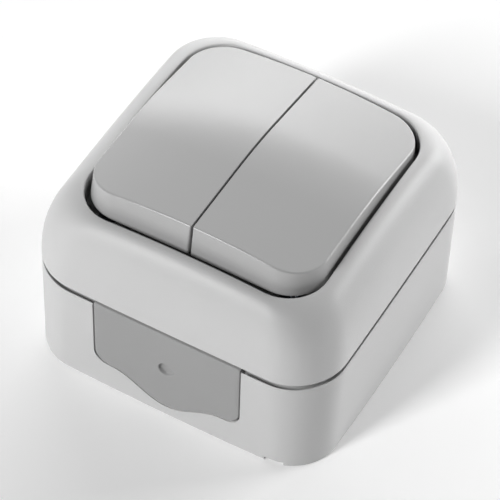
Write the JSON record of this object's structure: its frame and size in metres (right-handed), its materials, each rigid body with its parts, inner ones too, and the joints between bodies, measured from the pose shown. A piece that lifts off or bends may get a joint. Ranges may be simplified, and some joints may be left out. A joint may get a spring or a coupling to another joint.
{
  "type": "rocker wall switch",
  "caption": "Surface-mounted splash-proof wall switch: a square box with a rolled cover, side-by-side rockers on pivoting cradles and see-saw contacts, and grey cable entry plates.",
  "frame": {"origin": "centre of the back face that goes against the wall", "axes": "+Z out of the wall through the rockers, +Y up the wall, +X to the right when facing the rockers"},
  "size_m": [0.08, 0.08, 0.0574],
  "materials": {
    "base_plastic": "satin moulded light grey",
    "cover_plastic": "fine satin light grey",
    "rocker_plastic": "smooth satin grey",
    "entry_plastic": "matte mid grey",
    "seal_rubber": "matte black",
    "insulator_plastic": "matte off-white",
    "contact_brass": "stamped brass",
    "contact_silver": "silver alloy",
    "zinc_steel": "zinc plated",
    "spring_steel": "bright steel"
  },
  "bodies": {
    "box": {"base_box": "base_plastic", "cover_frame": "cover_plastic", "cable_entry_plate_lower": "entry_plastic", "cable_entry_plate_upper": "entry_plastic", "cover_gasket": "seal_rubber", "mechanism_seal": "seal_rubber", "mechanism_body": "insulator_plastic", "mechanism_cover": "insulator_plastic", "common_terminal": "contact_brass", "switched_terminal_left": "contact_brass", "switched_terminal_right": "contact_brass", "fixed_contact_tips": "contact_silver", "terminal_clamps": "zinc_steel", "terminal_screws": "zinc_steel", "mechanism_screws": "zinc_steel", "cover_screws": "zinc_steel"},
    "left_rocker": {"rocker_left": "rocker_plastic", "cradle_left": "insulator_plastic", "spring_left": "spring_steel"},
    "right_rocker": {"rocker_right": "rocker_plastic", "cradle_right": "insulator_plastic", "spring_right": "spring_steel"},
    "left_plunger": {"plunger_left": "spring_steel"},
    "right_plunger": {"plunger_right": "spring_steel"},
    "left_contact": {"contact_left": "contact_brass", "contact_tip_left": "contact_silver"},
    "right_contact": {"contact_right": "contact_brass", "contact_tip_right": "contact_silver"}
  },
  "joints": [
    {"name": "left_rocker_tilt", "type": "hinge", "parent": "box", "child": "left_rocker", "pos_m": [-0.01537, 0, 0.042], "axis": [1, 0, 0], "range_deg": [0, 8.8]},
    {"name": "right_rocker_tilt", "type": "hinge", "parent": "box", "child": "right_rocker", "pos_m": [0.01537, 0, 0.042], "axis": [1, 0, 0], "range_deg": [0, 8.8]},
    {"name": "left_plunger_slide", "type": "slide", "parent": "left_rocker", "child": "left_plunger", "axis": [0, 0.0767, 0.9971], "range_m": [0, 0.0008], "stiffness_N_per_m": 300, "springref_m": -0.003, "deforming": ["spring_left"]},
    {"name": "right_plunger_slide", "type": "slide", "parent": "right_rocker", "child": "right_plunger", "axis": [0, 0.0767, 0.9971], "range_m": [0, 0.0008], "stiffness_N_per_m": 300, "springref_m": -0.003, "deforming": ["spring_right"]},
    {"name": "left_contact_swing", "type": "hinge", "parent": "box", "child": "left_contact", "pos_m": [-0.01537, 0, 0.029], "axis": [1, 0, 0], "range_deg": [-14.1, 0]},
    {"name": "right_contact_swing", "type": "hinge", "parent": "box", "child": "right_contact", "pos_m": [0.01537, 0, 0.029], "axis": [1, 0, 0], "range_deg": [-14.1, 0]}
  ],
  "couplings": [
    {"joint": "left_contact_swing", "follows": "left_rocker_tilt", "ratio": -1.6},
    {"joint": "right_contact_swing", "follows": "right_rocker_tilt", "ratio": -1.6}
  ]
}
